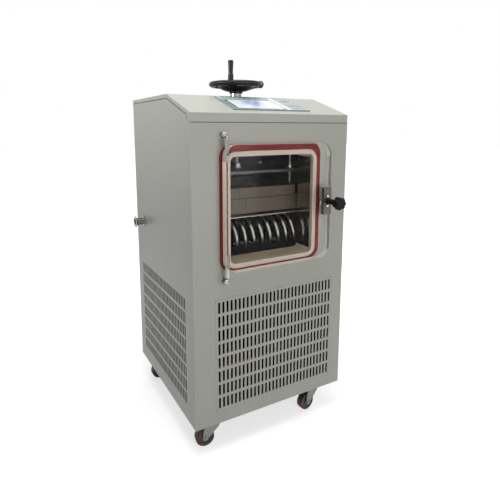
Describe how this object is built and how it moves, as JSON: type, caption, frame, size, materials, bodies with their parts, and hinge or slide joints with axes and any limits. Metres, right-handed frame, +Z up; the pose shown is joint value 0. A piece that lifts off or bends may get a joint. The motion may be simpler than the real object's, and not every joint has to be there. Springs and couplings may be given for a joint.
{
  "type": "freeze dryer",
  "caption": "Floor-standing freeze dryer: vacuum chamber behind a clear hinged door, top press with handwheel, slotted machine bay, swivel casters.",
  "frame": {"origin": "on the floor, in the middle of the outline box", "axes": "+X to the right, +Y to the back, +Z up; the door faces -Y"},
  "size_m": [0.583, 0.6874, 1.1983],
  "materials": {
    "cabinet_paint": "satin",
    "deck_paint": "satin",
    "frame_paint": "matte",
    "stainless": "satin",
    "bright_steel": "polished",
    "shelf_aluminium": "satin",
    "coil_steel": "polished",
    "foam": "matte",
    "trim_cream": "satin",
    "seal_silicone": "matte",
    "door_acrylic": "polished",
    "bush_nylon": "satin",
    "knob_black": "gloss",
    "fascia_film": "gloss",
    "screen": "gloss",
    "black_plastic": "satin",
    "motor_black": "gloss",
    "mount_rubber": "matte",
    "radiator_fins": "satin",
    "copper": "satin",
    "valve_brass": "satin",
    "switch_red": "gloss",
    "tyre_rubber": "matte"
  },
  "bodies": {
    "cabinet": {"frame": "frame_paint", "base_plate": "frame_paint", "left_panel": "cabinet_paint", "right_panel": "cabinet_paint", "rear_panel": "cabinet_paint", "front_panel": "cabinet_paint", "front_grille": "cabinet_paint", "grille_screws": "bright_steel", "top_cover": "deck_paint", "control_fascia": "fascia_film", "touch_screen": "screen", "chamber": "stainless", "insulation_jacket": "foam", "mouth_trim": "trim_cream", "door_seal": "seal_silicone", "hinge_posts": "bright_steel", "hinge_pins": "bright_steel", "latch_keeper": "stainless", "press_housing": "stainless", "rod_gland": "bright_steel", "guide_rods": "stainless", "heated_shelf": "shelf_aluminium", "product_tray": "stainless", "baffle_plate": "stainless", "condenser_coil": "coil_steel", "coil_rails": "stainless", "compressor": "motor_black", "compressor_mounts": "mount_rubber", "radiator": "radiator_fins", "fan_shroud": "black_plastic", "fan_motor": "motor_black", "filter_drier": "copper", "refrigerant_lines": "copper", "vacuum_port": "stainless", "control_box": "deck_paint", "mains_inlet": "black_plastic", "drain_valve": "valve_brass", "caster_plates": "stainless"},
    "door": {"door_plate": "door_acrylic", "door_bushes": "bush_nylon", "latch_block": "stainless", "latch_screws": "bright_steel"},
    "latch": {"latch_knob": "knob_black", "latch_spindle": "stainless"},
    "press_wheel": {"handwheel": "knob_black"},
    "press_grip": {"wheel_grip": "knob_black"},
    "press": {"press_rod": "stainless", "press_plate": "stainless", "press_fasteners": "bright_steel"},
    "fan": {"fan_blades": "black_plastic"},
    "rocker": {"rocker_switch": "switch_red"},
    "lever": {"drain_lever": "switch_red"},
    "front_left_caster": {"front_left_fork": "stainless"},
    "front_left_tyre": {"front_left_wheel": "tyre_rubber"},
    "front_right_caster": {"front_right_fork": "stainless"},
    "front_right_tyre": {"front_right_wheel": "tyre_rubber"},
    "rear_left_caster": {"rear_left_fork": "stainless"},
    "rear_left_tyre": {"rear_left_wheel": "tyre_rubber"},
    "rear_right_caster": {"rear_right_fork": "stainless"},
    "rear_right_tyre": {"rear_right_wheel": "tyre_rubber"}
  },
  "joints": [
    {"name": "door_swing", "type": "hinge", "parent": "cabinet", "child": "door", "pos_m": [-0.1595, -0.25015, 0.76], "axis": [0, 0, -1], "range_deg": [0, 105]},
    {"name": "latch_turn", "type": "hinge", "parent": "door", "child": "latch", "pos_m": [0.181, -0.26265, 0.763], "axis": [0, -1, 0], "range_deg": [0, 90]},
    {"name": "handwheel_turn", "type": "hinge", "parent": "cabinet", "child": "press_wheel", "pos_m": [0.002, -0.00485, 1.102], "axis": [0, 0, -1], "range_deg": [-1350, 1800]},
    {"name": "press_slide", "type": "slide", "parent": "cabinet", "child": "press", "axis": [0, 0, -1], "range_m": [-0.0301, 0.0401]},
    {"name": "grip_spin", "type": "hinge", "parent": "press_wheel", "child": "press_grip", "pos_m": [-0.04942, -0.06613, 1.15], "axis": [0, 0, 1], "continuous": true},
    {"name": "fan_spin", "type": "hinge", "parent": "cabinet", "child": "fan", "pos_m": [-0.167, 0.04515, 0.278], "axis": [1, 0, 0], "continuous": true},
    {"name": "switch_rock", "type": "hinge", "parent": "cabinet", "child": "rocker", "pos_m": [0.1165, 0.30665, 0.584], "axis": [-1, 0, 0], "range_deg": [0, 20]},
    {"name": "drain_turn", "type": "hinge", "parent": "cabinet", "child": "lever", "pos_m": [-0.0435, 0.32665, 0.487], "axis": [0, 0, 1], "range_deg": [0, 90]},
    {"name": "front_left_swivel", "type": "hinge", "parent": "cabinet", "child": "front_left_caster", "pos_m": [-0.1785, -0.18235, 0.08], "axis": [0, 0, 1], "continuous": true},
    {"name": "front_left_roll", "type": "hinge", "parent": "front_left_caster", "child": "front_left_tyre", "pos_m": [-0.20821, -0.17818, 0.03], "axis": [-0.1392, -0.9903, 0], "continuous": true},
    {"name": "front_right_swivel", "type": "hinge", "parent": "cabinet", "child": "front_right_caster", "pos_m": [0.2115, -0.18235, 0.08], "axis": [0, 0, 1], "continuous": true},
    {"name": "front_right_roll", "type": "hinge", "parent": "front_right_caster", "child": "front_right_tyre", "pos_m": [0.18179, -0.18652, 0.03], "axis": [0.1392, -0.9903, 0], "continuous": true},
    {"name": "rear_left_swivel", "type": "hinge", "parent": "cabinet", "child": "rear_left_caster", "pos_m": [-0.1785, 0.26165, 0.08], "axis": [0, 0, 1], "continuous": true},
    {"name": "rear_left_roll", "type": "hinge", "parent": "rear_left_caster", "child": "rear_left_tyre", "pos_m": [-0.2085, 0.26165, 0.03], "axis": [0, -1, 0], "continuous": true},
    {"name": "rear_right_swivel", "type": "hinge", "parent": "cabinet", "child": "rear_right_caster", "pos_m": [0.2115, 0.26165, 0.08], "axis": [0, 0, 1], "continuous": true},
    {"name": "rear_right_roll", "type": "hinge", "parent": "rear_right_caster", "child": "rear_right_tyre", "pos_m": [0.18157, 0.26374, 0.03], "axis": [-0.0698, -0.9976, 0], "continuous": true}
  ],
  "couplings": [
    {"joint": "press_slide", "follows": "handwheel_turn", "m_per_rad": 0.0012732}
  ]
}
